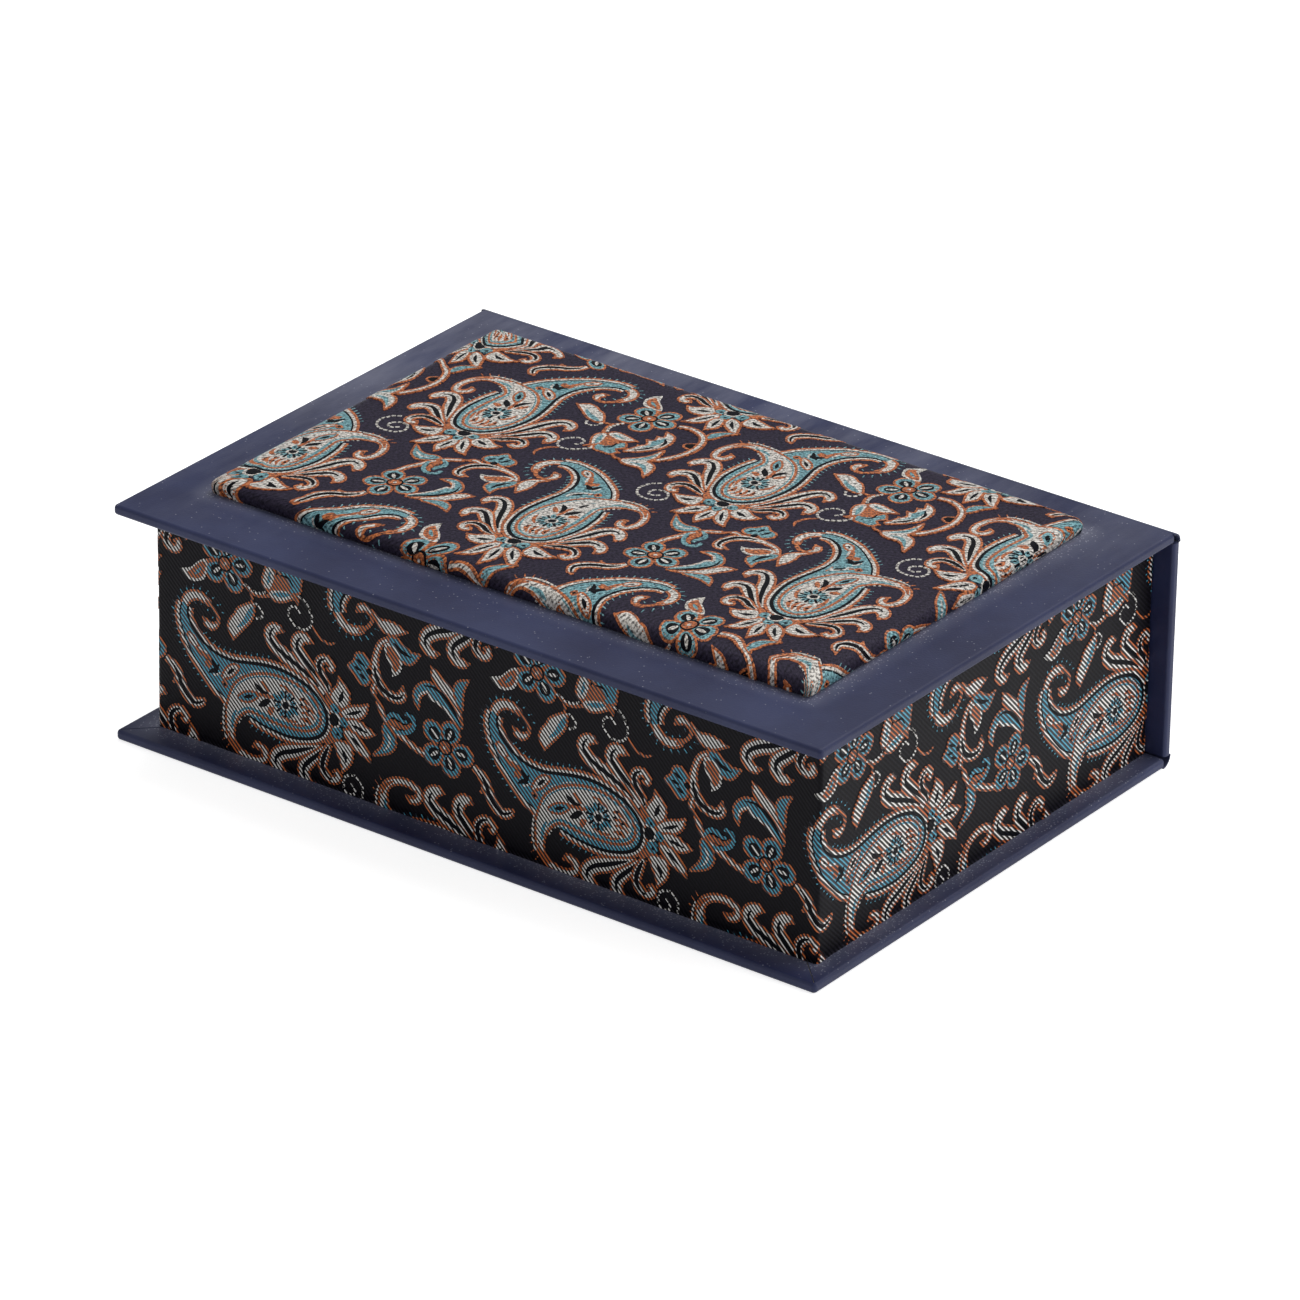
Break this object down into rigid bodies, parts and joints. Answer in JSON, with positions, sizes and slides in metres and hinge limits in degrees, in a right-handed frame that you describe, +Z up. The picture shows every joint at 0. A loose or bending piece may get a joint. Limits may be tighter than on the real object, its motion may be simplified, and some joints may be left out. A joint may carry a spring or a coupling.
{
  "type": "brocade covered keepsake box",
  "caption": "Book-style keepsake box: hinged case of covered boards round a brocade-wrapped tray, with a raised padded brocade panel on the lid.",
  "frame": {"origin": "middle of the underside, where the closed box stands on the table", "axes": "+X along the box, -Y towards the side that opens, +Y towards the spine, +Z up"},
  "size_m": [0.205, 0.145, 0.0665],
  "materials": {
    "greyboard": "bare grey board",
    "leatherette": "fine-grained satin leatherette on paper",
    "brocade": "satin ground with woven paisley figures",
    "lining": "matt lining cloth",
    "stay_tape": "brown gummed paper",
    "wadding": "soft white wadding"
  },
  "bodies": {
    "base": {"bottom_board": "greyboard", "bottom_cover": "leatherette", "spine_board": "greyboard", "spine_cover": "leatherette", "tray_floor": "greyboard", "tray_front_wall": "greyboard", "tray_back_wall": "greyboard", "tray_left_wall": "greyboard", "tray_right_wall": "greyboard", "corner_stays": "stay_tape", "tray_brocade": "brocade", "tray_wall_lining": "lining", "tray_floor_lining": "lining", "lid_hinge_cover": "leatherette", "hinge_lining": "lining"},
    "lid": {"lid_board": "greyboard", "lid_cover": "leatherette", "lid_lining": "lining", "panel_card": "greyboard", "panel_wadding": "wadding", "panel_brocade": "brocade"}
  },
  "joints": [
    {"name": "lid_hinge", "type": "hinge", "parent": "base", "child": "lid", "pos_m": [0, 0.07165, 0.06115], "axis": [-1, 0, 0], "range_deg": [0, 200], "deforming": ["lid_hinge_cover", "hinge_lining"]}
  ]
}
